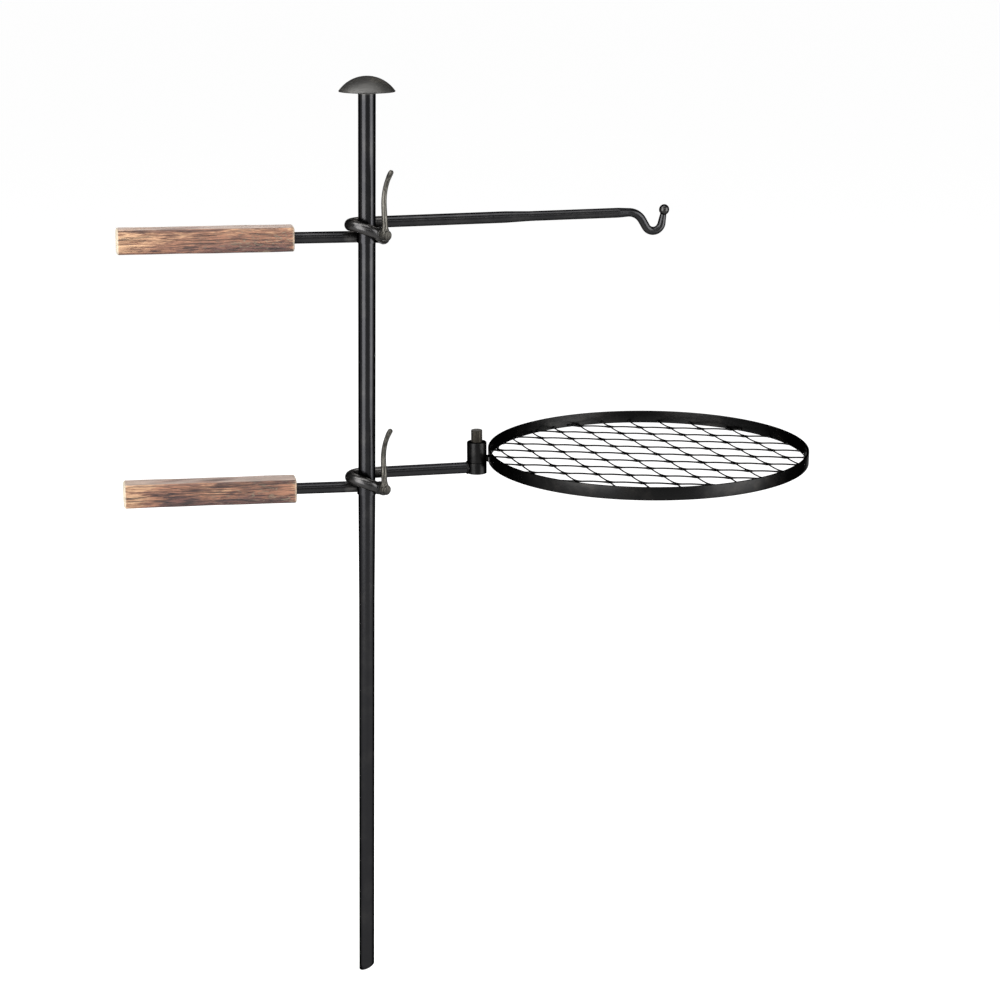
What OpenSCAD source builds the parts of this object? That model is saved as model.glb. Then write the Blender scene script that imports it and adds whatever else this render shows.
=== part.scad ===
// Stake-mounted campfire grill: a driven stake carries two arms of bent round rod.
// Each arm winds once round the stake, ends in a wooden grip on the left, and is
// clamped by a lever screw. The upper arm ends in a kettle hook, the lower one in
// a socket whose pin carries a round grate. The origin is on the stake's axis at
// ground level, +Z up, and both arms lie along X.

/* [Stake] */
// Length of the stake above the ground line, up to the strike cap's rim
stake_above = 833; // [790:1:900]
// Length of the stake that is driven into the ground
stake_below = 300; // [200:5:400]
// Diameter of the stake where the arms ride
stake_d = 21; // [20:0.5:21]
// Diameter of the drawn-down ground section
ground_d = 19.5; // [16:0.5:20]
// Height at which the ground section ends and the taper starts
ground_top = 206; // [150:1:210]
// Height at which the taper reaches the full diameter
taper_top = 336; // [330:1:340]
// Angle of the cut at the stake's tip, from level
tip_cut = 24; // [0:1:45]

/* [Strike cap] */
// Diameter of the domed cap that takes the hammer blows
cap_d = 67; // [50:1:72]
// Height of the dome
cap_h = 18; // [12:1:24]

/* [Arms] */
// Diameter of the bent rod
rod_d = 14; // [12:0.5:14]
// Radius of the coil round the stake, at the rod's centre
coil_r = 20; // [20:0.5:22]
// How far the rod climbs in one turn of the coil
coil_climb = 17; // [15:0.5:20]
// Angle by which the coil's front half is tipped up
coil_lift = 11; // [0:1:14]
// How much the long arms rise towards their ends, in degrees
arm_rise = 1.1; // [0.5:0.1:3]
// Height of the upper arm's left rod
upper_z = 659; // [640:1:665]
// Height of the lower arm's left rod
lower_z = 348; // [330:1:360]

/* [Hook] */
// Distance from the stake to the start of the hook's bend
hook_reach = 325; // [270:1:380]
// Diameter of the rod in the hook
hook_d = 10.4; // [8:0.2:11]
// Diameter of the hook's upturned end
hook_tip_d = 7.6; // [6:0.2:8]
// Diameter of the ball on the hook's end
ball_d = 12.6; // [11:0.2:15]

/* [Grips] */
// Distance from the stake to the near end of a grip
grip_start = 86; // [75:1:110]
// Length of a grip
grip_len = 212; // [180:1:250]
// Width and height of a grip's square section
grip_side = 30; // [25:0.5:36]
// Radius on a grip's long edges
grip_round = 3.2; // [1:0.2:6]

/* [Arm locks] */
// Direction of a lock screw round the stake, in degrees from the long arm
lock_azimuth = -58; // [-80:1:-45]
// Diameter of a lock screw
lock_screw_d = 8; // [6:0.5:8]
// Diameter of a lever's round hub
lock_hub_d = 13.8; // [13:0.2:18]
// Length of the lever's straight part, from the screw's axis
lever_straight = 34; // [25:1:45]
// Radius of the lever's outward curve
lever_bend_r = 60; // [45:1:80]
// Angle of the lever's outward curve
lever_bend = 42; // [20:1:50]
// How far the lever leans in towards the stake before it curves, in degrees
lever_lean = 4; // [0:1:6]
// Diameter of the lever at its hub
lever_root_d = 7.5; // [6.5:0.5:8]
// Diameter of the lever at its tip
lever_tip_d = 6; // [4:0.5:6.5]

/* [Grate] */
// Outer diameter of the grate's band
grate_d = 400; // [360:5:440]
// Height of the band
band_h = 16; // [12:1:20]
// Thickness of the band
band_t = 3; // [2:0.5:4]
// Distance from the stake to the grate's pivot
pivot_reach = 141.25; // [120:1:180]
// Gap between the pivot sleeve and the band, which the bracket bridges
bracket_gap = 5.5; // [4:0.5:9]
// Outer diameter of the pivot sleeve and of the socket under it
sleeve_d = 24.5; // [22:0.5:27]
// Height of the pivot sleeve
sleeve_h = 25.5; // [20:0.5:32]
// Diameter of the pivot pin
pin_d = 14; // [12:0.5:15]
// How far the pin stands out above the sleeve
pin_above = 15; // [8:1:22]
// Length of a side of one diamond cell of the mesh
cell_side = 40; // [32:1:50]
// Acute angle of a diamond cell
cell_angle = 64; // [50:1:80]
// Direction of the mesh's long strands
cell_turn = -18; // [-45:1:0]
// Width of a strand
strand_w = 3; // [2.5:0.1:4]
// Thickness of the mesh
mesh_t = 2; // [1.5:0.1:3]

/* [Fits] */
// Gap between parts that move past each other
gap = 0.4; // [0.3:0.05:0.5]
// Radial clearance of a running fit
running = 0.05; // [0.02:0.01:0.1]
// Radial clearance between the pivot pin and the grate's loose sleeve
loose = 0.3; // [0.3:0.05:0.5]

/* [Hidden] */
$fn = 64;

black = "#1d1d1f";
bare_steel = "#8d8c88";
zinc = "#a9abab";
burnt_wood = "#a9714c";

// stake
pole_wall = 2.5;
cap_lip = 0.6;
cap_weld_r = 3.5;
// A dome of height h over a circle of diameter d is part of a sphere of this radius
function dome_r(d, h) = (d * d / 4 + h * h) / (2 * h);

// coil and sleeve
coil_tilt = atan(coil_climb / 2 / coil_r);
sleeve_wall = 1.4;
guide_r = stake_d / 2 + running;
guide_below = 4;
guide_h = 15;

// arm stretches, all measured along the rod from the stake
long_taper_at = 172;
long_taper_len = 30;
hook_taper_len = 12;
hook_neck_r = 20;
hook_neck_turn = 60;
hook_drop = 10;
hook_bowl_r = 10.5;
hook_bowl_turn = 140;
hook_stem = 17;
hook_mid_d = 12;
ball_seat = 0.4 * ball_d;
elbow_extra = 0.3;

// grips
washer_d = 18;
washer_t = 1.5;
screw_d = 6;
screw_len = 24;
screw_head_d = 11;
screw_head_h = 3.5;
hex_d = 4.6;
hex_depth = 2.2;
washer_play = 0.6;
screw_play = 1;
screw_end_play = 2;
grip_recess_d = 20;
grip_recess = 6;
rod_end_in = grip_recess + 3;

// lock
lock_raise = 0.7;
lock_h = coil_climb * (1 - cos(lock_azimuth)) / 2
    - coil_r * sin(lock_azimuth) * tan(coil_lift) + lock_raise;
screw_in = guide_r + sleeve_wall + gap;
boss_d = 12;
boss_stand = 2.6;
boss_out = coil_r + rod_d / 2 + boss_stand;
boss_weld_d = 16;
boss_weld_h = 4.6;
boss_weld_lip = 0.6;
boss_weld_back = 0.4;
hub_in = boss_out + gap;
hub_len = 8;
hub_bevel = 1.5;
lever_at = hub_in + hub_len / 2;
hub_floor = 2;
screw_out = hub_in + hub_len - hub_floor;

// grate, measured from the pivot with the arm's centre line at zero
grate_r = grate_d / 2;
grate_reach = sleeve_d / 2 + bracket_gap + grate_r;
band_low = -0.8;
mesh_lift = 0.8;
band_inner = grate_r - band_t;
mesh_low = band_low + mesh_lift;
mesh_r = band_inner - running;
sleeve_low = rod_d / 2 + gap;
socket_floor = 2;
pin_low = socket_floor - rod_d / 2 + running;
pin_high = sleeve_low + sleeve_h + pin_above;
bracket_t = 8;
bracket_lift = 0.1;
bracket_drop = 1;
bracket_low = sleeve_low + bracket_lift;
bracket_h = band_low + band_h - bracket_drop - bracket_low;
bracket_weld = 3;
bracket_weld_h = bracket_h - 1;
seat_weld_r = 1.2;
strand_weld = 2.4;
strand_weld_turn = 1.6;
strand_share = 0.97;

// mesh lattice
step_u = cell_side * [cos(cell_turn), sin(cell_turn)];
step_v = cell_side * [cos(cell_turn - cell_angle), sin(cell_turn - cell_angle)];
cells_spare = 1.3;
cells = ceil(grate_r / (cell_side * cos(cell_angle / 2)) * cells_spare);
cell_edge = 0.5 - strand_w / 2 / (cell_side * sin(cell_angle));
cell_trim = 0.13;
row_pitch = cell_side * sin(cell_angle);

// A run of rod along +X that may taper, with what follows placed at its end
module run(d_start, d_end, len) {
    rotate([0, 90, 0])
        cylinder(d1 = d_start, d2 = d_end, h = len);
    translate([len, 0, 0])
        children();
}

// A bend of the rod in the upright plane, up for a positive angle, down for a
// negative one, with what follows placed at its end behind a forged elbow
module turn(d, r, angle) {
    up = sign(angle);
    size = abs(angle);
    elbow(d);
    translate([0, 0, up * r])
        rotate([90, 0, 0])
            rotate([0, 0, up > 0 ? -90 : 90 - size])
                rotate_extrude(angle = size)
                    translate([r, 0])
                        circle(d = d);
    translate([r * sin(size), 0, up * r * (1 - cos(size))])
        rotate([0, -angle, 0]) {
            elbow(d);
            children();
        }
}

// A ball a hair thicker than the rod, where one stretch of it passes into the next
module elbow(d) {
    sphere(d = d + elbow_extra);
}

// The coil: a level quarter on the right, a tilted half across the front, and a
// level quarter on the left, one climb higher
module coil() {
    rotate_extrude(angle = 90)
        translate([coil_r, 0])
            circle(d = rod_d);
    translate([coil_r, 0, 0])
        elbow(rod_d);
    front_coil();
    translate([-coil_r, 0, coil_climb])
        elbow(rod_d);
    translate([0, 0, coil_climb])
        rotate([0, 0, 90])
            rotate_extrude(angle = 90)
                translate([coil_r, 0])
                    circle(d = rod_d);
}

module front_coil() {
    translate([0, 0, coil_climb / 2])
        rotate([-coil_lift, coil_tilt, 0])
            rotate([0, 0, 180])
                rotate_extrude(angle = 180)
                    translate([coil_r / cos(coil_tilt), 0])
                        circle(d = rod_d);
}

// Places its children with +X along a lock screw, out from the stake's axis
module lock_frame() {
    translate([0, 0, lock_h])
        rotate([0, 0, lock_azimuth])
            children();
}

// A round bar along +X between two distances from the stake's axis
module bar_x(d, from, to) {
    translate([from, 0, 0])
        rotate([0, 90, 0])
            cylinder(d = d, h = to - from);
}

// The left rod with its coil, the grip's end bored for its screw
module arm_left() {
    difference() {
        union() {
            coil();
            translate([-(grip_start + grip_len - rod_end_in), coil_r, 0])
                rotate([0, 90, 0])
                    cylinder(d = rod_d, h = grip_start + grip_len - rod_end_in);
        }
        lock_frame()
            bar_x(lock_screw_d + 2 * running, guide_r, boss_out + 1);
        grip_frame()
            bar_x(screw_d + 2 * running, rod_end_in - 1, rod_end_in + screw_len);
    }
}

// Places its children at a grip's far end, with +X along the rod towards the stake
module grip_frame() {
    translate([-(grip_start + grip_len), coil_r, 0])
        children();
}

// Places its children at the top of the coil, along the rising long arm
module long_arm_frame() {
    translate([0, coil_r, coil_climb])
        rotate([0, -arm_rise, 0])
            children();
}

// Places its children at the pivot of the grate, on the lower arm's centre line
module pivot_frame() {
    translate([0, 0, lower_z])
        long_arm_frame()
            translate([pivot_reach, 0, 0])
                children();
}

// Places its children at the centre of the grate, at the same height as the pivot
module grate_frame() {
    pivot_frame()
        translate([grate_reach, 0, 0])
            children();
}

module stake_pole() {
    color(black)
        difference() {
            union() {
                translate([0, 0, -stake_below])
                    cylinder(d = ground_d, h = stake_below + ground_top);
                translate([0, 0, ground_top])
                    cylinder(d1 = ground_d, d2 = stake_d, h = taper_top - ground_top);
                translate([0, 0, taper_top])
                    cylinder(d = stake_d, h = stake_above - taper_top);
            }
            translate([0, 0, -stake_below + ground_d * tan(tip_cut) + 1])
                cylinder(d = ground_d - 2 * pole_wall, h = stake_above + stake_below);
            translate([-ground_d / 2, 0, -stake_below])
                rotate([0, -tip_cut, 0])
                    translate([-ground_d, -ground_d, -2 * ground_d])
                        cube([4 * ground_d, 2 * ground_d, 2 * ground_d]);
        }
}

module strike_cap() {
    r = dome_r(cap_d, cap_h - cap_lip);
    color(black)
        translate([0, 0, stake_above])
            intersection() {
                cylinder(d = cap_d, h = cap_h);
                translate([0, 0, cap_h - r])
                    sphere(r = r, $fn = 96);
            }
}

module strike_cap_weld() {
    color(black)
        translate([0, 0, stake_above])
            rotate_extrude()
                difference() {
                    translate([stake_d / 2, -cap_weld_r])
                        square(cap_weld_r);
                    translate([stake_d / 2 + cap_weld_r, -cap_weld_r])
                        circle(r = cap_weld_r);
                }
}

module guide_sleeve(z) {
    color(black)
        translate([0, 0, z - guide_below])
            difference() {
                cylinder(r = guide_r + sleeve_wall, h = guide_h);
                translate([0, 0, -1])
                    cylinder(r = guide_r, h = guide_h + 2);
            }
}

module upper_arm_rod() {
    color(black)
        translate([0, 0, upper_z]) {
            arm_left();
            long_arm_frame() {
                elbow(rod_d);
                hook_arm();
            }
        }
}

module hook_arm() {
    plain = hook_reach - hook_taper_len - long_taper_at - long_taper_len;
    run(rod_d, rod_d, long_taper_at)
        run(rod_d, hook_mid_d, long_taper_len)
            run(hook_mid_d, hook_mid_d, plain)
                run(hook_mid_d, hook_d, hook_taper_len)
                    hook();
}

module hook() {
    turn(hook_d, hook_neck_r, -hook_neck_turn)
        run(hook_d, hook_d, hook_drop)
            turn(hook_d, hook_bowl_r, hook_bowl_turn)
                difference() {
                    run(hook_d, hook_tip_d, hook_stem - ball_seat);
                    translate([hook_stem, 0, 0])
                        sphere(d = ball_d);
                }
}

// Places its children at the end of the hook's upturned stem
module hook_end() {
    translate([hook_reach, 0, 0])
        translate([hook_neck_r * sin(hook_neck_turn), 0, -hook_neck_r * (1 - cos(hook_neck_turn))])
            rotate([0, hook_neck_turn, 0])
                translate([hook_drop + hook_bowl_r * sin(hook_bowl_turn), 0,
                           hook_bowl_r * (1 - cos(hook_bowl_turn))])
                    rotate([0, -hook_bowl_turn, 0])
                        translate([hook_stem, 0, 0])
                            children();
}

module upper_hook_ball() {
    color(black)
        translate([0, 0, upper_z])
            long_arm_frame()
                hook_end()
                    sphere(d = ball_d);
}

module lower_arm_rod() {
    color(black)
        difference() {
            translate([0, 0, lower_z]) {
                arm_left();
                long_arm_frame() {
                    elbow(rod_d);
                    run(rod_d, rod_d, pivot_reach);
                }
            }
            pivot_frame()
                translate([0, 0, -rod_d])
                    cylinder(d = sleeve_d, h = 2 * rod_d);
        }
}

// A square section with rounded corners, from exact circles and squares
module rounded_square(side, r) {
    square([side, side - 2 * r], center = true);
    square([side - 2 * r, side], center = true);
    for (x = [-1, 1], y = [-1, 1])
        translate([x * (side / 2 - r), y * (side / 2 - r)])
            circle(r = r);
}

module grip(z) {
    color(burnt_wood)
        translate([0, 0, z])
            grip_frame()
                difference() {
                    rotate([0, 90, 0])
                        linear_extrude(grip_len)
                            rounded_square(grip_side, grip_round);
                    bar_x(rod_d + 2 * running, rod_end_in, grip_len + 1);
                    bar_x(screw_d + screw_play, 0, grip_len);
                    bar_x(grip_recess_d, -1, grip_recess);
                }
}

module grip_washer(z) {
    color(zinc)
        translate([0, 0, z])
            grip_frame()
                difference() {
                    bar_x(washer_d, grip_recess - washer_t, grip_recess);
                    bar_x(screw_d + washer_play, 0, grip_recess + 1);
                }
}

module grip_screw(z) {
    head = grip_recess - washer_t;
    color(zinc)
        translate([0, 0, z])
            grip_frame()
                difference() {
                    union() {
                        bar_x(screw_head_d, head - screw_head_h, head);
                        bar_x(screw_d, head - 1, rod_end_in + screw_len - screw_end_play);
                    }
                    translate([head - screw_head_h - 1, 0, 0])
                        rotate([0, 90, 0])
                            cylinder(d = hex_d, h = hex_depth + 1, $fn = 6);
                }
}

module lock_boss(z) {
    color(black)
        translate([0, 0, z])
            difference() {
                lock_frame()
                    difference() {
                        bar_x(boss_d, coil_r, boss_out);
                        bar_x(lock_screw_d + 2 * running, 0, boss_out + 1);
                    }
                front_coil();
            }
}

module lock_boss_weld(z) {
    color(black)
        translate([0, 0, z])
            difference() {
                lock_frame()
                    difference() {
                        translate([boss_out - boss_weld_back - boss_weld_h, 0, 0])
                            rotate([0, 90, 0])
                                cylinder(d1 = boss_weld_d, d2 = boss_d + boss_weld_lip, h = boss_weld_h);
                        bar_x(boss_d, 0, boss_out + 1);
                    }
                front_coil();
            }
}

module lock_screw(z) {
    color(bare_steel)
        translate([0, 0, z])
            lock_frame()
                bar_x(lock_screw_d, screw_in, screw_out);
}

// The tusk-shaped lever: a round hub, a straight taper and an outward curve
module lock_lever(z) {
    color(bare_steel)
        translate([0, 0, z])
            lock_frame()
                difference() {
                    union() {
                        lever_hub();
                        translate([lever_at, 0, 0])
                            rotate([0, -lever_lean, 0])
                                lever_tusk();
                    }
                    bar_x(lock_screw_d, 0, screw_out);
                }
}

module lever_tusk() {
    cylinder(d1 = lever_root_d, d2 = lever_tip_d, h = lever_straight);
    translate([0, 0, lever_straight])
        elbow(lever_tip_d);
    translate([lever_bend_r, 0, lever_straight])
        rotate([90, 0, 0])
            rotate([0, 0, 180 - lever_bend])
                rotate_extrude(angle = lever_bend)
                    translate([lever_bend_r, 0])
                        circle(d = lever_tip_d);
    translate([lever_bend_r * (1 - cos(lever_bend)), 0, lever_straight + lever_bend_r * sin(lever_bend)])
        elbow(lever_tip_d);
}

module lever_hub() {
    bar_x(lock_hub_d, hub_in, hub_in + hub_len);
    translate([hub_in + hub_len, 0, 0])
        rotate([0, 90, 0])
            cylinder(d1 = lock_hub_d, d2 = lock_hub_d - 2 * hub_bevel, h = hub_bevel);
}

module arm_socket() {
    color(black)
        pivot_frame()
            difference() {
                translate([0, 0, -rod_d / 2])
                    cylinder(d = sleeve_d, h = rod_d);
                translate([0, 0, socket_floor - rod_d / 2])
                    cylinder(d = pin_d + 2 * running, h = rod_d);
            }
}

module arm_socket_weld() {
    color(black)
        pivot_frame()
            difference() {
                translate([-sleeve_d / 2, 0, 0])
                    rotate([0, 90, 0])
                        rotate_extrude()
                            translate([rod_d / 2, 0])
                                circle(r = seat_weld_r);
                translate([0, 0, -rod_d])
                    cylinder(d = sleeve_d, h = 2 * rod_d);
                bar_x(rod_d, -pivot_reach / 2, 0);
            }
}

module pivot_pin() {
    chamfer = 1;
    color(black)
        pivot_frame()
            translate([0, 0, pin_low]) {
                cylinder(d = pin_d, h = pin_high - pin_low - chamfer);
                translate([0, 0, pin_high - pin_low - chamfer])
                    cylinder(d1 = pin_d, d2 = pin_d - 2 * chamfer, h = chamfer);
            }
}

module grate_sleeve() {
    color(black)
        pivot_frame()
            translate([0, 0, sleeve_low])
                difference() {
                    cylinder(d = sleeve_d, h = sleeve_h);
                    translate([0, 0, -1])
                        cylinder(d = pin_d + 2 * loose, h = sleeve_h + 2);
                }
}

// The flat lug between the sleeve and the band, shaped to both
module grate_bracket() {
    color(black)
        pivot_frame()
            difference() {
                translate([0, -bracket_t / 2, bracket_low])
                    cube([sleeve_d / 2 + bracket_gap + 2, bracket_t, bracket_h]);
                translate([0, 0, bracket_low - 1])
                    cylinder(d = sleeve_d, h = bracket_h + 2);
                translate([grate_reach, 0, bracket_low - 1])
                    cylinder(d = grate_d, h = bracket_h + 2, $fn = 128);
            }
}

// Upright fillets on both sides of the bracket
module grate_bracket_welds() {
    color(black)
        pivot_frame()
            for (side = [-1, 1])
                difference() {
                    translate([sleeve_d / 2 + bracket_gap / 2, side * bracket_t / 2, bracket_low])
                        cylinder(r = bracket_weld, h = bracket_weld_h);
                    translate([0, -bracket_t / 2, bracket_low - 1])
                        cube([sleeve_d, bracket_t, bracket_h + 2]);
                    translate([0, 0, bracket_low - 1])
                        cylinder(d = sleeve_d, h = bracket_h + 2);
                    translate([grate_reach, 0, bracket_low - 1])
                        cylinder(d = grate_d, h = bracket_h + 2, $fn = 128);
                }
}

module grate_band() {
    color(black)
        grate_frame()
            translate([0, 0, band_low])
                rotate_extrude($fn = 128)
                    translate([band_inner, 0])
                        square([band_t, band_h]);
}

// A diamond hole with its two sharp corners cut across
module cell_hole() {
    e = cell_edge;
    f = cell_edge - cell_trim;
    polygon([
        e * step_u + f * step_v,
        f * step_u + e * step_v,
        -e * step_u + e * step_v,
        -e * step_u - f * step_v,
        -f * step_u - e * step_v,
        e * step_u - e * step_v
    ]);
}

module grate_mesh() {
    color(black)
        grate_frame()
            translate([0, 0, mesh_low])
                linear_extrude(mesh_t)
                    difference() {
                        circle(r = mesh_r, $fn = 128);
                        for (i = [-cells:cells], j = [-cells:cells])
                            if (norm(i * step_u + j * step_v) < mesh_r + cell_side)
                                translate(i * step_u + j * step_v)
                                    cell_hole();
                    }
}

// Directions at which one family of strands meets the band
function strand_ends(turn) = [
    for (k = [-cells:cells])
        let (offset = (k + 0.5) * row_pitch)
        if (abs(offset) < strand_share * mesh_r)
            for (side = [-1, 1])
                turn + 90 + side * acos(offset / mesh_r)
];

module grate_mesh_welds() {
    top = mesh_low + mesh_t;
    ends = concat(strand_ends(cell_turn), strand_ends(cell_turn - cell_angle));
    color(black)
        grate_frame()
            for (direction = ends)
                rotate([0, 0, direction - strand_weld_turn / 2])
                    rotate_extrude(angle = strand_weld_turn, $fn = 128)
                        polygon([
                            [mesh_r - strand_weld, top],
                            [band_inner, top],
                            [band_inner, top + strand_weld]
                        ]);
}

stake_pole();
strike_cap();
strike_cap_weld();
guide_sleeve(upper_z);  // upper_guide_sleeve
upper_arm_rod();
upper_hook_ball();
grip(upper_z);  // upper_grip
grip_washer(upper_z);  // upper_grip_washer
grip_screw(upper_z);  // upper_grip_screw
lock_boss(upper_z);  // upper_lock_boss
lock_boss_weld(upper_z);  // upper_lock_boss_weld
lock_screw(upper_z);  // upper_lock_screw
lock_lever(upper_z);  // upper_lock_lever
guide_sleeve(lower_z);  // lower_guide_sleeve
lower_arm_rod();
grip(lower_z);  // lower_grip
grip_washer(lower_z);  // lower_grip_washer
grip_screw(lower_z);  // lower_grip_screw
lock_boss(lower_z);  // lower_lock_boss
lock_boss_weld(lower_z);  // lower_lock_boss_weld
lock_screw(lower_z);  // lower_lock_screw
lock_lever(lower_z);  // lower_lock_lever
arm_socket();
arm_socket_weld();
pivot_pin();
grate_sleeve();
grate_bracket();
grate_bracket_welds();
grate_band();
grate_mesh();
grate_mesh_welds();
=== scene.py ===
"""Looks of a stake-mounted campfire grill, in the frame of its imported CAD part.

All sizes below are millimetres, turned into metres where a mesh is made.
"""

import math

import bpy
import numpy as np
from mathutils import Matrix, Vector


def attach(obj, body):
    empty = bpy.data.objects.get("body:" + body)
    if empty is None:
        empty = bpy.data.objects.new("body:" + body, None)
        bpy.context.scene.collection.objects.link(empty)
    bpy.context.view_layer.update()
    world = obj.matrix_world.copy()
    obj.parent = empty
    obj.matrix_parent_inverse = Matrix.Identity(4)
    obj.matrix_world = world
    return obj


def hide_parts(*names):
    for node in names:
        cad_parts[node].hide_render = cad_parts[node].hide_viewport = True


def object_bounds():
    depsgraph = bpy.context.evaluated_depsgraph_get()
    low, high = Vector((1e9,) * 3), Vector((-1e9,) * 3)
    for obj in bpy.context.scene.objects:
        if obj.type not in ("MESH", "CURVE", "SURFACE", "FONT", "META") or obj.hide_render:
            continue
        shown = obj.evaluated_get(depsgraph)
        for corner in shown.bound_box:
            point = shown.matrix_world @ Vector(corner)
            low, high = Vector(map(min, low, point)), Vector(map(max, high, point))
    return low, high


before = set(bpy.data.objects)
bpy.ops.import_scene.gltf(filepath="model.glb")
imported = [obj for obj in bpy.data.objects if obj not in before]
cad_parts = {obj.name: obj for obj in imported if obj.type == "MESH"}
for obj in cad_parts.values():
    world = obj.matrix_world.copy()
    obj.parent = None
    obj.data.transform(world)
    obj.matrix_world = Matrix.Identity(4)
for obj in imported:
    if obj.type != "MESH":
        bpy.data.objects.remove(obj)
cad_low, cad_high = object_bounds()

MM = 0.001

# ---------------------------------------------------------------- sizes
STAKE_R, GROUND_R = 10.5, 9.75
STAKE_LOW, GROUND_TOP, TAPER_TOP, STAKE_TOP = -300.0, 206.0, 336.0, 833.0
TIP_CUT = math.radians(24)
CAP_R, CAP_H, CAP_LIP = 33.5, 18.0, 0.6
ROD_R, COIL_R, CLIMB = 7.0, 20.0, 17.0
COIL_TILT, COIL_LIFT = math.atan(CLIMB / 2 / COIL_R), math.radians(11)
RISE = math.radians(1.1)
UPPER_Z, LOWER_Z = 659.0, 348.0
LEVELS = {"upper": UPPER_Z, "lower": LOWER_Z}
ARM_LEN, THICK_LEN, TAPER_LEN, NECK_LEN, TAIL_LEN = 325, 172, 30, 12, 12
NECK_BEND_R, HOOK_R, BALL_R, BALL_HALF = 20, 10.5, 6.2, 6.5
ROD_END = -289.0
GRIP_START, GRIP_LEN, GRIP_HALF, GRIP_CORNER = 86.0, 212.0, 15.0, 3.4
GRIP_BORE_R, RECESS_R, RECESS_DEPTH, SCREW_HOLE_R = ROD_R + 0.05, 10.0, 6.0, 3.6
LOCK_TURN = math.radians(-58)
LOCK_UP = CLIMB * (1 - math.cos(LOCK_TURN)) / 2 - COIL_R * math.sin(LOCK_TURN) * math.tan(COIL_LIFT) + 0.7
BOSS_OUT, HUB_IN, HUB_LEN, HUB_R = 29.6, 30.0, 8.0, 6.5
LEVER_AT, LEVER_STRAIGHT, LEVER_R = 34.0, 34.0, 60.0
LEVER_TURN, LEVER_LEAN = math.radians(42), math.radians(4)
PIVOT, GRATE_AT = 141.25, 359.0
SLEEVE_R, PIN_R = 12.25, 7.0
COLLAR_BORE_R, COLLAR_LOW, COLLAR_TOP = PIN_R + 0.3, 7.4, 32.9
PIN_LOW, PIN_TOP = -4.4, 47.8
BAND_R, BAND_T, BAND_LOW, BAND_H = 200.0, 3.0, -0.8, 16.0
MESH_Z, MESH_R = BAND_LOW + 1.8, BAND_R - BAND_T + 0.6
CELL, CELL_TURN, CELL_ANGLE = 40.0, math.radians(-18), math.radians(64)


# ---------------------------------------------------------------- shapes
def surface(name, grids, body, paint, stands_for=(), loop=False):
    """One closed mesh from grids of points p[i, j].

    Ring i runs once round the piece and ring i + 1 follows it. The first and last ring
    are closed by a fan to their mean point, or joined to each other when loop is set.
    The UV map holds (metres along the rings, share of the way round).
    """
    points, faces, along, base = [], [], [], 0
    for grid in grids:
        n, m, _ = grid.shape
        i = np.arange(n if loop else n - 1)[:, None]
        j = np.arange(m)[None, :]
        i2, j2 = (i + 1) % n, (j + 1) % m
        quads = np.stack([i * m + j, i * m + j2, i2 * m + j2, i2 * m + j], -1)
        step = np.linalg.norm(np.diff(grid.mean(1), axis=0), axis=1) * MM
        length = np.append(0, np.cumsum(step))
        length = np.append(length, length[-1] + step[-1]) if loop else length
        v = np.stack(np.broadcast_arrays(length[i], length[i], length[i + 1], length[i + 1]), -1)
        u = np.stack([j, j + 1, j + 1, j], -1) / m
        v, u = np.broadcast_arrays(v.reshape(len(i), 1, 4), u)
        points.append(grid.reshape(-1, 3))
        faces.append(quads.reshape(-1, 4) + base)
        along.append(np.stack([v, u], -1).reshape(-1, 2))
        if not loop:
            r, r2 = np.arange(m), (np.arange(m) + 1) % m
            points.append(np.stack([grid[0].mean(0), grid[-1].mean(0)]))
            first = np.stack([np.full(m, n * m), r2, r], -1)
            last = np.stack([np.full(m, n * m + 1), (n - 1) * m + r, (n - 1) * m + r2], -1)
            faces.append(np.vstack([first, last]) + base)
            along.append(np.repeat([[0.0, 0.5], [length[-1], 0.5]], 3 * m, axis=0))
        base += n * m + (0 if loop else 2)
    mesh = bpy.data.meshes.new(name)
    corners = [face for block in faces for face in block.tolist()]
    mesh.from_pydata((np.vstack(points) * MM).tolist(), [], corners)
    mesh.uv_layers.new(name="run").data.foreach_set("uv", np.vstack(along).astype(np.float32).ravel())
    mesh.polygons.foreach_set("use_smooth", np.ones(len(mesh.polygons), bool))
    mesh.materials.append(paint)
    piece = bpy.data.objects.new(name, mesh)
    bpy.context.scene.collection.objects.link(piece)
    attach(piece, body)
    if stands_for:
        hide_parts(*stands_for)
    return piece


def unit(v):
    return v / np.linalg.norm(v, axis=-1, keepdims=True)


def sweep(path, side, radius, around=40, ratio=1.0):
    """Rings p + r (cos a S + k sin a B) along a path p(s).

    T is the path's direction, S the part of side square to T, B = T x S, k the ratio.
    """
    t = unit(np.gradient(path, axis=0))
    side = np.broadcast_to(side, path.shape)
    s = unit(side - (side * t).sum(-1, keepdims=True) * t)
    b = np.cross(t, s)
    a = np.linspace(0, 2 * np.pi, around, endpoint=False)[None, :, None]
    radius = np.broadcast_to(radius, len(path))[:, None, None]
    return path[:, None] + radius * (np.cos(a) * s[:, None] + ratio * np.sin(a) * b[:, None])


def lathe(origin, axis, side, profile, around=64):
    """Rings o + h Z + r (cos a X + sin a Y) for the profile's points (r, h)."""
    z = unit(np.array(axis, float))
    x = unit(np.array(side, float) - np.dot(side, z) * z)
    y = np.cross(z, x)
    a = np.linspace(0, 2 * np.pi, around, endpoint=False)[None, :, None]
    profile = np.array(profile, float)
    r, h = profile[:, 0, None, None], profile[:, 1, None, None]
    return np.array(origin, float) + h * z + r * (np.cos(a) * x + np.sin(a) * y)


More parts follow.
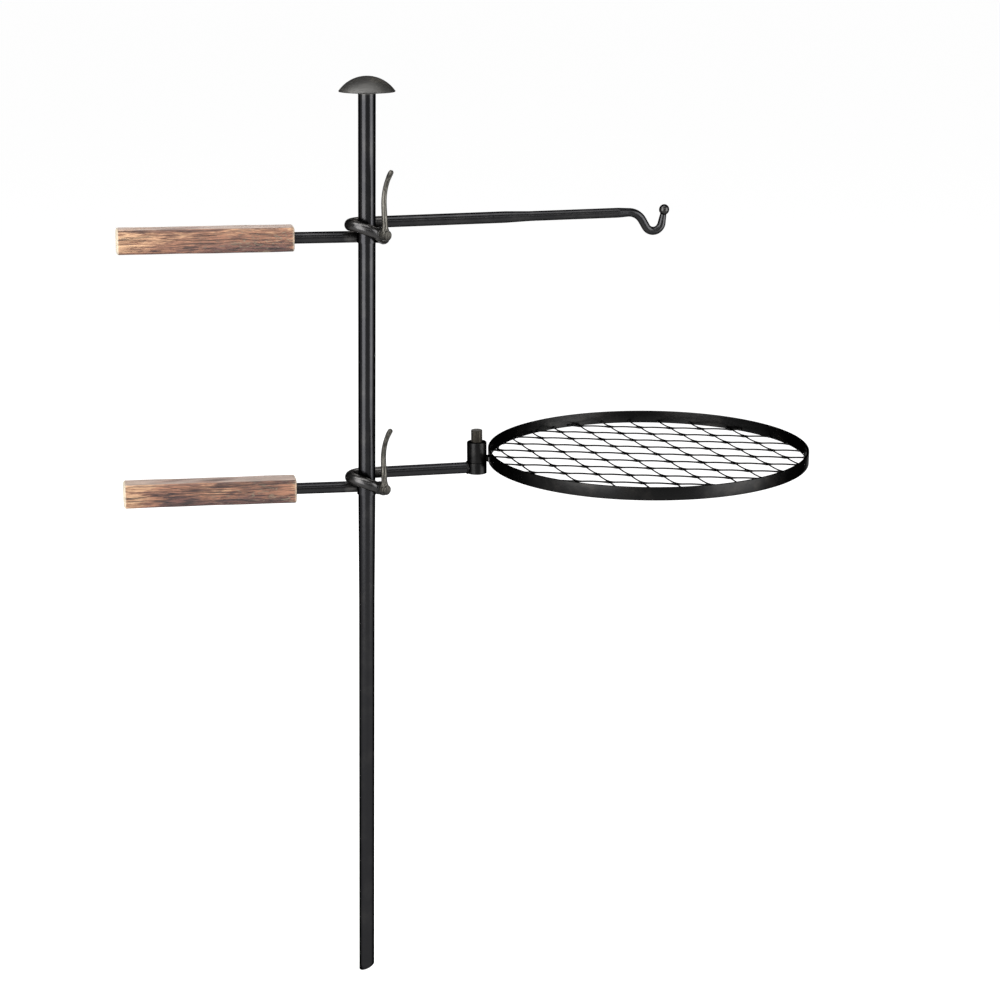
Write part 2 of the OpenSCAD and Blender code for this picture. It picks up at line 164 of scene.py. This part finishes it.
def rounded(corners, radii, steps=6):
    """A polyline whose inner corners are cut by (1-t)^2 A + 2t(1-t) P + t^2 B."""
    p = np.array(corners, float)
    t = np.linspace(0, 1, steps)[:, None]
    parts = [p[:1]]
    for before, at, after, r in zip(p, p[1:], p[2:], radii):
        a = at + unit(before - at) * r
        b = at + unit(after - at) * r
        parts.append((1 - t) ** 2 * a + 2 * t * (1 - t) * at + t**2 * b)
    parts.append(p[-1:])
    return np.vstack(parts)


def plane_run(moves, spacing=2.0):
    """Points (u, w) and rod radii of a rod bent in its own plane.

    Each move is (length, bend radius or 0, end radius of the rod). A bend turns left for
    a positive bend radius: p + R (sin q, 1 - cos q) turned by the heading so far.
    """
    at, heading, thick = np.zeros(2), 0.0, moves[0][2]
    points, radii = [at[None]], [[thick]]
    for length, bend, end in moves:
        s = np.linspace(0, length, max(3, int(length / spacing)) + 1)[1:]
        if bend:
            q = s / bend
            local = np.stack([bend * np.sin(q), bend * (1 - np.cos(q))], -1)
        else:
            q = 0 * s
            local = np.stack([s, 0 * s], -1)
        c, d = math.cos(heading), math.sin(heading)
        points.append(at + local @ np.array([[c, d], [-d, c]]))
        radii.append(thick + (end - thick) * s / length)
        at, heading, thick = points[-1][-1], heading + q[-1], end
    return np.vstack(points), np.concatenate(radii)


def on_long_arm(local, z):
    """Puts points (u along the long arm, y off its centre line, w above it) in place."""
    u, y, w = np.moveaxis(np.asarray(local, float), -1, 0)
    c, s = math.cos(RISE), math.sin(RISE)
    return np.stack([u * c - w * s, y + COIL_R, z + CLIMB + u * s + w * c], -1)


def arm(z, moves):
    """Path, side vectors and radii of an arm: left rod, one coil, rising long arm.

    The coil is p = R (cos q, sin q, 0) with q from 90 to 0 degrees at the left rod's
    height, then R / cos(tilt) (cos q, -sin q, 0) turned by the lift about X and by the
    tilt about Y, then q from 180 to 90 degrees one climb higher.
    """
    left = np.linspace(ROD_END, 0, 120)[:-1]
    quarter = np.linspace(0, math.pi / 2, 24)
    half = np.linspace(0, math.pi, 56)[1:-1]
    reach = COIL_R / math.cos(COIL_TILT)
    out, up = reach * np.sin(half) * math.cos(COIL_LIFT), reach * np.sin(half) * math.sin(COIL_LIFT)
    ct, st = math.cos(COIL_TILT), math.sin(COIL_TILT)
    rod = np.stack([left, np.full_like(left, COIL_R), 0 * left], -1)
    right = COIL_R * np.stack([np.sin(quarter), np.cos(quarter), 0 * quarter], -1)
    front = np.stack([reach * np.cos(half) * ct + up * st, -out,
                      CLIMB / 2 - reach * np.cos(half) * st + up * ct], -1)
    back = COIL_R * np.stack([-np.cos(quarter), np.sin(quarter), 0 * quarter], -1)
    back[:, 2] = CLIMB
    uw, radii = plane_run(moves)
    long = on_long_arm(np.stack([uw[1:, 0], 0 * uw[1:, 0], uw[1:, 1]], -1), 0)
    path = np.vstack([rod, right, front, back, long])
    side = path * [1, 1, 0]
    side[: len(rod)] = [0, 1, 0]
    side[-len(long):] = [0, 1, 0]
    path[:, 2] += z
    thick = np.append(np.full(len(path) - len(long), ROD_R), radii[1:])
    return path, side, thick


def lock_place(local, z):
    """Puts points (out along a lock screw, across it, up) in place."""
    o, a, h = np.moveaxis(np.asarray(local, float), -1, 0)
    c, s = math.cos(LOCK_TURN), math.sin(LOCK_TURN)
    return np.stack([o * c - a * s, o * s + a * c, h + z + LOCK_UP], -1)


def square_radius(q, half, corner):
    """Distance from the middle of a square of this half side to its outline at angle q.

    With c = half - corner: half / cos q on a flat, and on a corner's arc the far root of
    |r (cos q, sin q) - (c, c)| = corner.
    """
    q = np.abs((q + np.pi / 4) % (np.pi / 2) - np.pi / 4)
    c = half - corner
    b = c * (np.cos(q) + np.sin(q))
    arc = b + np.sqrt(np.maximum(b * b - 2 * c * c + corner * corner, 0))
    return np.where(half * np.tan(q) <= c, half / np.cos(q), arc)


def grip_rings(z, seed):
    """A rounded square bar along X, recessed for a washer at its left end."""
    around = 192
    q = np.linspace(0, 2 * np.pi, around, endpoint=False)
    q = q - 0.19 * np.sin(4 * q)
    end = -(GRIP_START + GRIP_LEN)
    far = rounded([(SCREW_HOLE_R, RECESS_DEPTH), (RECESS_R, RECESS_DEPTH), (RECESS_R, 0.0),
                   (GRIP_HALF, 0.0), (GRIP_HALF, 12.0)], (0.4, 0.8, 3.4), 8)
    near = rounded([(GRIP_HALF, GRIP_LEN - 12), (GRIP_HALF, GRIP_LEN), (GRIP_BORE_R, GRIP_LEN),
                    (GRIP_BORE_R, 200)], (2.4, 0.4), 6)
    middle = np.stack([np.full(90, GRIP_HALF), np.linspace(14, GRIP_LEN - 14, 90)], -1)
    profile = np.vstack([far, middle, near])
    r, x = profile[:, 0, None], end + profile[:, 1, None]
    worn = 0.18 * np.sin(x / 31 + seed) + 0.12 * np.sin(x / 11 + 2 * seed + 3 * q) - 0.3
    outline = square_radius(q, GRIP_HALF, GRIP_CORNER)[None]
    share = np.clip((r - RECESS_R) / (GRIP_HALF - RECESS_R), 0, 1)
    radius = np.where(r > RECESS_R, RECESS_R + share * (outline - RECESS_R), r) + share * worn
    y = COIL_R + radius * np.cos(q)
    return np.stack([np.broadcast_to(x, y.shape), y, z + radius * np.sin(q)], -1)


# ---------------------------------------------------------------- shader maths
class Value:
    """A shader socket with arithmetic."""

    def __init__(self, paint, socket):
        self.paint, self.socket = paint, socket

    def _with(self, kind, a, b):
        return self.paint.node("ShaderNodeMath", {"operation": kind}, {0: a, 1: b})

    def __add__(self, other):
        return self._with("ADD", self, other)

    def __sub__(self, other):
        return self._with("SUBTRACT", self, other)

    def __mul__(self, other):
        return self._with("MULTIPLY", self, other)

    def __pow__(self, other):
        return self._with("POWER", self, other)

    def __rsub__(self, other):
        return self._with("SUBTRACT", other, self)

    __radd__ = __add__
    __rmul__ = __mul__


class Paint:
    """A procedural material built on one Principled shader."""

    def __init__(self, name, constants):
        self.material = bpy.data.materials.new(name)
        self.material.use_nodes = True
        self.tree = self.material.node_tree
        self.tree.nodes.clear()
        self.shader = self.tree.nodes.new("ShaderNodeBsdfPrincipled")
        output = self.tree.nodes.new("ShaderNodeOutputMaterial")
        self.tree.links.new(self.shader.outputs[0], output.inputs[0])
        self.set(self.shader, constants)

    def set(self, node, inputs):
        for key, value in inputs.items():
            if isinstance(value, Value):
                self.tree.links.new(value.socket, node.inputs[key])
            else:
                node.inputs[key].default_value = value

    def node(self, kind, settings, inputs, output=0):
        made = self.tree.nodes.new(kind)
        for key, value in settings.items():
            setattr(made, key, value)
        self.set(made, inputs)
        return Value(self, made.outputs[output])

    def place(self):
        return self.node("ShaderNodeTexCoord", {}, {}, "Object")

    def part(self, vector, axis):
        return self.node("ShaderNodeSeparateXYZ", {}, {0: vector}, axis)

    def stretched(self, vector, scale, offset=(0, 0, 0)):
        grown = self.node("ShaderNodeVectorMath", {"operation": "MULTIPLY"}, {0: vector, 1: scale})
        return self.node("ShaderNodeVectorMath", {"operation": "ADD"}, {0: grown, 1: offset})

    def noise(self, vector, scale, detail=3.0, rough=0.55, warp=0.0):
        sizes = {"Vector": vector, "Scale": scale, "Detail": detail, "Roughness": rough,
                 "Distortion": warp}
        return self.node("ShaderNodeTexNoise", {}, sizes)

    def step(self, value, low, high, to_low=0.0, to_high=1.0):
        sizes = {"Value": value, "From Min": low, "From Max": high,
                 "To Min": to_low, "To Max": to_high}
        return self.node("ShaderNodeMapRange", {"interpolation_type": "SMOOTHSTEP"}, sizes)

    def mix(self, share, a, b):
        def full(c):
            return c if isinstance(c, Value) else (*c, 1.0)
        made = self.tree.nodes.new("ShaderNodeMix")
        made.data_type = "RGBA"
        self.set(made, {0: share, 6: full(a), 7: full(b)})
        return Value(self, made.outputs[2])

    def bump(self, height, distance, strength=1.0):
        return self.node("ShaderNodeBump", {}, {"Height": height, "Distance": distance,
                                                "Strength": strength})

    def done(self, inputs):
        self.set(self.shader, inputs)
        return self.material


def black_steel(name, dark=(0.016, 0.016, 0.017), worn=(0.040, 0.039, 0.037), rough=0.22,
                wear=0.25, edge=0.06, grain=1.0, sheen_and_rub=0.0):
    """Blackened steel: a dark metal that stays dark at its edges, with a fine uneven skin.

    It can be lightened near the stake's axis, over the coils: a painted sheen, partly wear from rubbing.
    """
    p = Paint(name, {"Metallic": 1.0, "Specular Tint": (edge, edge, edge, 1.0)})
    where = p.place()
    wear_and_sheen = p.step(p.noise(where, 38.0, 4.0, 0.6), 0.45, 0.75)
    skin = p.noise(where, 210.0, 3.0)
    if sheen_and_rub:
        # Painted sheen, partly wear from rubbing: the coils near the stake's axis are lightened towards
        # the worn tone.
        off = p.part(where, "X") ** 2 + p.part(where, "Y") ** 2
        axis_sheen_and_rub = p.step(off, 0.031**2, 0.024**2) * p.step(skin, 0.30, 0.60, 0.5, 1.0)
        wear_and_sheen = wear_and_sheen + axis_sheen_and_rub * (sheen_and_rub / wear)
    return p.done({
        "Base Color": p.mix(wear_and_sheen * wear, dark, worn),
        "Roughness": rough + 0.06 * (skin - 0.5),
        "Normal": p.bump(skin, 0.00007 * grain),
    })


def bare_steel(name, low, high, rough, streaks=(220.0, 220.0, 14.0), dark_below=None):
    """Drawn, handled steel: fine streaks along the piece, darker stains, and darker below a given height.
    """
    p = Paint(name, {"Metallic": 1.0})
    where = p.place()
    lines = p.noise(p.stretched(where, streaks), 3.0, 4.0, 0.6)
    stain = p.step(p.noise(where, 70.0, 3.0), 0.42, 0.70)
    share = p.step(lines, 0.3, 0.72) * (1.0 - 0.55 * stain)
    # Darker below dark_below, towards the lever's hub.
    if dark_below is not None:
        share = share * p.step(p.part(where, "Z"), dark_below * MM, (dark_below + 12) * MM, 0.22, 1.0)
    return p.done({
        "Base Color": p.mix(share, low, high),
        "Roughness": rough + 0.18 * (1.0 - lines) + 0.1 * stain,
        "Normal": p.bump(lines, 0.0003),
    })


def burnt_wood(name, z, seed):
    """Flame-burnt softwood: grain along X, scorched towards the lower edge and the stake."""
    p = Paint(name, {"Specular IOR Level": 0.35})
    where = p.place()
    x = (p.part(where, "X") + (GRIP_START + GRIP_LEN) * MM) * (1000.0 / GRIP_LEN)
    up = (p.part(where, "Z") - z * MM) * (1.0 / (GRIP_HALF * MM))
    shift = (seed * 1.7, seed * 0.9, seed * 0.4)
    slow = p.noise(p.stretched(where, (9.0, 60.0, 60.0), shift), 1.0, 3.0, 0.55, 0.6)
    fine = p.noise(p.stretched(where, (34.0, 420.0, 420.0), shift), 1.0, 4.0, 0.65, 0.9)
    grain = p.step(fine, 0.36, 0.62)
    knots = p.noise(p.stretched(where, (55.0, 150.0, 150.0), shift), 1.0, 3.0, 0.6, 2.2)
    crack = p.noise(p.stretched(where, (16.0, 520.0, 520.0), shift), 1.0, 2.0, 0.5, 1.3)
    burn = (p.step(x, -0.02, 0.30) * 0.52 + p.step(x, 0.45, 0.95) * 0.10
            + p.step(up, 0.10, -0.95) * 0.26 + (slow - 0.5) * 1.7 + (knots - 0.5) * 0.7
            - p.step(x, 0.93, 1.0) * 0.3)
    pale = p.mix(grain, (0.075, 0.030, 0.015), (0.28, 0.172, 0.098))
    brown = p.mix(grain, (0.026, 0.0092, 0.0060), (0.145, 0.066, 0.037))
    dark = p.mix(grain, (0.008, 0.0028, 0.0026), (0.052, 0.020, 0.015))
    warm = p.mix(p.step(burn, 0.0, 0.42), pale, brown)
    char = p.mix(p.step(burn, 0.46, 0.88), warm, dark)
    ash = p.step(knots, 0.54, 0.68) * p.step(x, 0.28, 0.75) * 0.55
    grey = p.mix(ash, char, (0.105, 0.085, 0.055))
    lines = p.step(crack, 0.44, 0.33) * 0.75
    wood = p.mix(lines, grey, (0.008, 0.003, 0.0025))
    # A darker, patchy band just under the top face, left out at the far end.
    under_top_band = p.step(up, 0.74, 0.84) * p.step(up, 0.96, 0.88) * p.step(x, 0.02, 0.10) * 0.65
    edged = p.mix(under_top_band * p.step(slow, 0.30, 0.50), wood, (0.014, 0.005, 0.004))
    # Painted light: the top face is mixed towards a pale tone, as if lit from above.
    top = p.step(up, 0.955, 0.985)
    with_top_light = p.mix(top * 0.75, edged, (0.20, 0.155, 0.13))
    rim = p.step(x, 0.016, 0.006) + p.step(x, 0.985, 0.996) * 0.45
    return p.done({
        "Base Color": p.mix(rim, with_top_light, (0.28, 0.24, 0.18)),
        "Roughness": 0.52 + 0.15 * burn,
        "Normal": p.bump(fine * 0.5 + slow - 1.4 * lines, 0.0006),
    })


stake_black = black_steel("stake_black", grain=0.6)
# arm_black lightens its coils near the stake's axis: a painted sheen, partly wear from rubbing.
arm_black = black_steel("arm_black", dark=(0.019, 0.019, 0.020), worn=(0.060, 0.058, 0.056),
                        rough=0.28, wear=0.2, edge=0.30, sheen_and_rub=0.8)
weld_black = black_steel("weld_black", dark=(0.020, 0.020, 0.020), worn=(0.060, 0.058, 0.055),
                         rough=0.26, wear=0.7, edge=0.15, grain=2.0)
cap_black = black_steel("cap_black", dark=(0.055, 0.054, 0.052), worn=(0.100, 0.095, 0.088),
                        rough=0.50, wear=0.6, edge=0.2)
grate_black = black_steel("grate_black", dark=(0.009, 0.009, 0.009), worn=(0.026, 0.024, 0.022),
                          rough=0.30, wear=0.4, edge=0.06)
lever_steel = {
    level: bare_steel(f"{level}_lever_steel", (0.010, 0.0095, 0.0085), (0.105, 0.100, 0.088), 0.36,
                      dark_below=z + LOCK_UP - 4)
    for level, z in LEVELS.items()
}
pin_steel = bare_steel("pin_steel", (0.010, 0.009, 0.0075), (0.036, 0.033, 0.027), 0.42)
zinc = bare_steel("zinc_steel", (0.10, 0.10, 0.10), (0.22, 0.22, 0.23), 0.30)

# ---------------------------------------------------------------- stake and cap
stake_profile = [(GROUND_R, STAKE_LOW), (GROUND_R, STAKE_LOW + 10), (GROUND_R, STAKE_LOW + 12),
                 (GROUND_R, 0), (GROUND_R, GROUND_TOP), (STAKE_R, TAPER_TOP), (STAKE_R, 585),
                 (STAKE_R, STAKE_TOP - 4), (STAKE_R, STAKE_TOP - 1.2), (STAKE_R, STAKE_TOP - 1)]
stake = lathe((0, 0, 0), (0, 0, 1), (1, 0, 0), stake_profile, 96)
stake[0, :, 2] = STAKE_LOW + (stake[0, :, 0] + GROUND_R) * math.tan(TIP_CUT)
tip = stake[:1] * [0.97, 0.97, 1]
tip[..., 2] = STAKE_LOW + (tip[..., 0] + GROUND_R) * math.tan(TIP_CUT)
stake[0, :, 2] += 0.3
surface("stake_tube", [np.concatenate([tip, stake])], "stake", stake_black,
        ["stake_pole"])

dome_r = (CAP_R**2 + (CAP_H - CAP_LIP) ** 2) / (2 * (CAP_H - CAP_LIP))
dome_arc = np.linspace(math.asin(CAP_R / dome_r), 0.012, 30)
dome = np.stack([dome_r * np.sin(dome_arc), CAP_H - dome_r * (1 - np.cos(dome_arc))], -1)
rim = rounded([(0.5, 0.0), (CAP_R - 4, 0.0), (CAP_R - 0.1, 0.0), tuple(dome[0]), tuple(dome[1])],
              (0.2, 0.9, 0.9), 5)
cap_profile = np.vstack([rim[:-1], dome[1:]])
surface("hammer_cap", [lathe((0, 0, STAKE_TOP), (0, 0, 1), (1, 0, 0), cap_profile, 128)],
        "stake", cap_black, ["strike_cap"])


# ---------------------------------------------------------------- arms
hook_moves = [(THICK_LEN, 0, ROD_R), (TAPER_LEN, 0, 6.0),
              (ARM_LEN - NECK_LEN - THICK_LEN - TAPER_LEN, 0, 6.0), (NECK_LEN, 0, 5.2),
              (NECK_BEND_R * math.pi / 3, -NECK_BEND_R, 5.2), (10, 0, 5.1),
              (HOOK_R * math.radians(140), HOOK_R, 4.9), (TAIL_LEN, 0, 3.8)]
path, side, thick = arm(UPPER_Z, hook_moves)
surface("upper_rod", [sweep(path, side, thick)], "upper_arm", arm_black,
        ["upper_arm_rod"])
stem = unit(path[-1] - path[-2])
ball_arc = np.linspace(0.05, math.pi - 0.05, 30)
ball = np.stack([BALL_R * np.sin(ball_arc), -BALL_HALF * np.cos(ball_arc)], -1)
surface("hook_ball", [lathe(path[-1] + 5.3 * stem, stem, (0, 1, 0), ball, 48)], "upper_arm",
        weld_black, ["upper_hook_ball"])

path, side, thick = arm(LOWER_Z, [(PIVOT - 9.8, 0, ROD_R)])
surface("lower_rod", [sweep(path, side, thick)], "lower_arm", arm_black,
        ["lower_arm_rod"])

for (level, z), seed in zip(LEVELS.items(), (0.0, 5.0)):
    surface(f"{level}_wood_grip", [grip_rings(z, seed)], f"{level}_arm",
            burnt_wood(f"{level}_burnt_wood", z, seed), [f"{level}_grip"])


# ---------------------------------------------------------------- arm locks
def lever_rings(z):
    """The tusk: straight up with a slight lean in, then outward by R (1 - cos q, sin q)."""
    moves = [(LEVER_STRAIGHT, 0, 3.1), (LEVER_R * LEVER_TURN, -LEVER_R, 2.9)]
    hw, _ = plane_run(moves, 1.5)
    h = hw[:, 0]
    thick = 2.95 + 0.75 * np.clip(1 - h / 60, 0, 1) + 1.5 * np.exp(-((h - 4) / 4.0) ** 2)
    thick[-12:] += 0.25 * np.exp(-((np.arange(12) - 8) / 3.0) ** 2)
    end = np.linspace(0, 0.97, 8)[1:]
    hw = np.vstack([hw, hw[-1] + unit(hw[-1] - hw[-2]) * (2.9 * end)[:, None]])
    radius = np.append(thick, thick[-1] * np.sqrt(1 - end**2))
    out, up = -hw[:, 1], hw[:, 0]
    c, d = math.cos(LEVER_LEAN), math.sin(LEVER_LEAN)
    local = np.stack([LEVER_AT + out * c - up * d, 0 * up, up * c + out * d], -1)
    side = lock_place([0, 1, 0], 0) - lock_place([0, 0, 0], 0)
    return sweep(lock_place(local, z), side, radius, 28)


def along_lock(profile, z, around=64):
    """A turned piece on a lock screw's axis, from (radius, distance out) points."""
    start = lock_place([0, 0, 0], z)
    return lathe(start, lock_place([1, 0, 0], z) - start, (0, 0, 1), profile, around)


hub = rounded([(0.4, HUB_IN), (HUB_R, HUB_IN), (HUB_R, HUB_IN + HUB_LEN), (5.2, HUB_IN + HUB_LEN + 1.5),
               (0.3, HUB_IN + HUB_LEN + 1.5)], (0.8, 2.4, 1.4), 7)
weld_turn = np.linspace(0, 1, 60)
weld = np.stack([8.0 - 1.9 * weld_turn + 0.28 * np.cos(weld_turn * 2 * np.pi * 4),
                 BOSS_OUT - 6.2 + 5.9 * weld_turn], -1)
weld = np.vstack([[(5.9, BOSS_OUT - 6.5)], weld, [(5.9, BOSS_OUT - 0.1), (4.2, BOSS_OUT)]])
for level, z in LEVELS.items():
    surface(f"{level}_lever", [along_lock(hub, z), lever_rings(z)], f"{level}_lock",
            lever_steel[level], [f"{level}_lock_lever"])
    surface(f"{level}_boss_weld", [along_lock(weld, z, 96)], f"{level}_arm",
            weld_black, [f"{level}_lock_boss_weld"])


# ---------------------------------------------------------------- grate
def on_grate(local):
    """Puts points given from the grate's centre, at the arm's own height, in place."""
    return on_long_arm(np.asarray(local) + [GRATE_AT, 0, 0], LOWER_Z)


band = rounded([(BAND_R, 9), (BAND_R, BAND_LOW), (BAND_R - BAND_T, BAND_LOW),
                (BAND_R - BAND_T, BAND_LOW + BAND_H), (BAND_R, BAND_LOW + BAND_H), (BAND_R, 9.5)],
               (0.7, 0.7, 0.7, 0.7), 5)
turn = np.linspace(0, 2 * np.pi, 288, endpoint=False)[:, None]
rings = np.stack([band[:, 0] * np.cos(turn), band[:, 0] * np.sin(turn),
                  np.broadcast_to(band[:, 1], (288, len(band)))], -1)
surface("grate_ring", [on_grate(rings)], "grate", grate_black, ["grate_band"],
        loop=True)

ways = [np.array([math.cos(a), math.sin(a)]) for a in (CELL_TURN, CELL_TURN - CELL_ANGLE)]
strands, ends = [], []
for way, other, lean in ((ways[0], ways[1], 0.35), (ways[1], ways[0], -0.35)):
    for k in range(-8, 8):
        start = (k + 0.5) * CELL * other
        foot = start @ way
        reach = MESH_R**2 - start @ start + foot**2
        if reach <= (0.24 * MESH_R) ** 2:
            continue
        s = np.linspace(-foot - math.sqrt(reach), -foot + math.sqrt(reach),
                        int(math.sqrt(reach)))
        node = np.abs((s / CELL) % 1 - 0.5) * CELL
        line = start + s[:, None] * way
        rise = 0.25 * np.cos(2 * np.pi * s / CELL) * np.sign(lean)
        points = on_grate(np.column_stack([line, MESH_Z + rise]))
        across = np.array([-way[1], way[0], math.tan(lean)])
        width = 1.35 * (1 + 0.75 * np.exp(-((node / 4.0) ** 2)))
        strands.append(sweep(points, across, width, 12, 0.62))
        ends += [line[0], line[-1]]
surface("expanded_mesh", strands, "grate", grate_black, ["grate_mesh"])

bead_arc = np.linspace(0.2, math.pi - 0.2, 9)
bead = np.stack([2.3 * np.sin(bead_arc), -1.7 * np.cos(bead_arc)], -1)
beads = [lathe((*(at * (1 - 2.0 / MESH_R)), MESH_Z + 0.4), (0, 0, 1), (1, 0, 0), bead, 14)
         for at in ends]
surface("mesh_beads", [on_grate(b) for b in beads], "grate", grate_black,
        ["grate_mesh_welds"])

pin = rounded([(0.4, PIN_LOW), (PIN_R, PIN_LOW), (PIN_R, PIN_TOP), (0.4, PIN_TOP)], (0.4, 0.9), 6)
pin_foot = on_long_arm([PIVOT, 0, 0], LOWER_Z)
pin_up = on_long_arm([PIVOT, 0, 1], LOWER_Z) - pin_foot
surface("swing_pin", [lathe(pin_foot, pin_up, (1, 0, 0), pin, 64)], "pivot",
        pin_steel, ["pivot_pin"])

collar = rounded([(COLLAR_BORE_R, 9.0), (COLLAR_BORE_R, COLLAR_LOW), (SLEEVE_R, COLLAR_LOW),
                  (SLEEVE_R, COLLAR_TOP), (COLLAR_BORE_R, COLLAR_TOP), (COLLAR_BORE_R, 20)],
                 (0.3, 0.4, 1.5, 0.6), 6)
collar = lathe(pin_foot, pin_up, (1, 0, 0), collar, 96)
surface("swing_sleeve", [np.concatenate([collar, collar[:1]])], "grate",
        grate_black, ["grate_sleeve"])

# ---------------------------------------------------------------- finishes of the shown CAD nodes
FINISH = {
    "strike_cap_weld": weld_black,
    "upper_guide_sleeve": stake_black,
    "lower_guide_sleeve": stake_black,
    "upper_lock_boss": weld_black,
    "lower_lock_boss": weld_black,
    "upper_lock_screw": zinc,
    "lower_lock_screw": zinc,
    "upper_grip_washer": zinc,
    "lower_grip_washer": zinc,
    "upper_grip_screw": zinc,
    "lower_grip_screw": zinc,
    "arm_socket": grate_black,
    "arm_socket_weld": grate_black,
    "grate_bracket": grate_black,
    "grate_bracket_welds": weld_black,
}
for name, finish in FINISH.items():
    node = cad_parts[name]
    for place in node.material_slots:
        place.material = finish

# ---------------------------------------------------------------- stage, light and camera
floor_z = cad_low.z - 0.0005
floor_mesh = bpy.data.meshes.new("floor")
floor_mesh.from_pydata([(-80, -80, floor_z), (80, -80, floor_z), (80, 80, floor_z), (-80, 80, floor_z)],
                       [], [(0, 1, 2, 3)])
floor = bpy.data.objects.new("floor", floor_mesh)
bpy.context.scene.collection.objects.link(floor)
pale = Paint("pale_floor", {"Roughness": 0.9, "Specular IOR Level": 0.05,
                            "Base Color": (0.25, 0.25, 0.25, 1), "Emission Color": (1, 1, 1, 1),
                            "Emission Strength": 0.92})
floor_mesh.materials.append(pale.material)

world = bpy.data.worlds.new("room")
bpy.context.scene.world = world
world.use_nodes = True
world.node_tree.nodes["Background"].inputs[0].default_value = (1, 1, 1, 1)
world.node_tree.nodes["Background"].inputs[1].default_value = 0.25


def softbox(name, at, to, wide, high, power):
    light = bpy.data.lights.new(name, "AREA")
    light.shape, light.size, light.size_y, light.energy = "RECTANGLE", wide, high, power
    box = bpy.data.objects.new(name, light)
    box.location = at
    box.rotation_mode = "QUATERNION"
    box.rotation_quaternion = (Vector(to) - Vector(at)).to_track_quat("-Z", "Y")
    bpy.context.scene.collection.objects.link(box)


VIEW_TURN = math.radians(7.73)


def round_stake(turned, distance, height):
    """A point at an angle round the stake, from the viewer's side, positive to the right."""
    a = VIEW_TURN - math.radians(turned)
    return (-distance * math.sin(a), -distance * math.cos(a), height)


softbox("left_box", round_stake(-43, 2.3, 0.80), (0, 0, 0.45), 1.9, 2.7, 150)
softbox("right_box", round_stake(61, 2.3, 0.80), (0, 0, 0.45), 1.6, 2.7, 130)
softbox("front_box", round_stake(0, 3.0, 1.9), (0, 0, 0.45), 3.0, 0.5, 22)
softbox("high_box", round_stake(-62, 1.4, 2.5), (0, 0, 0.6), 1.6, 1.3, 60)
softbox("back_box", round_stake(172, 2.2, 2.6), (0, 0, 0.45), 2.0, 0.9, 60)
softbox("top_box", (0.2, -0.6, 3.2), (0.1, 0, 0.3), 1.6, 1.6, 45)

lens = bpy.data.cameras.new("camera")
lens.sensor_width = 36.0
lens.lens = 78.624
lens.shift_x = 0.134
lens.clip_end = 300
camera = bpy.data.objects.new("camera", lens)
camera.location = (-0.351, -2.578, 1.041)
camera.rotation_mode = "QUATERNION"
pitch = math.radians(15.17)
ahead = Vector((math.sin(VIEW_TURN) * math.cos(pitch), math.cos(VIEW_TURN) * math.cos(pitch),
                -math.sin(pitch)))
camera.rotation_quaternion = ahead.to_track_quat("-Z", "Y")
bpy.context.scene.collection.objects.link(camera)
bpy.context.scene.camera = camera
bpy.context.scene.view_settings.view_transform = "Standard"
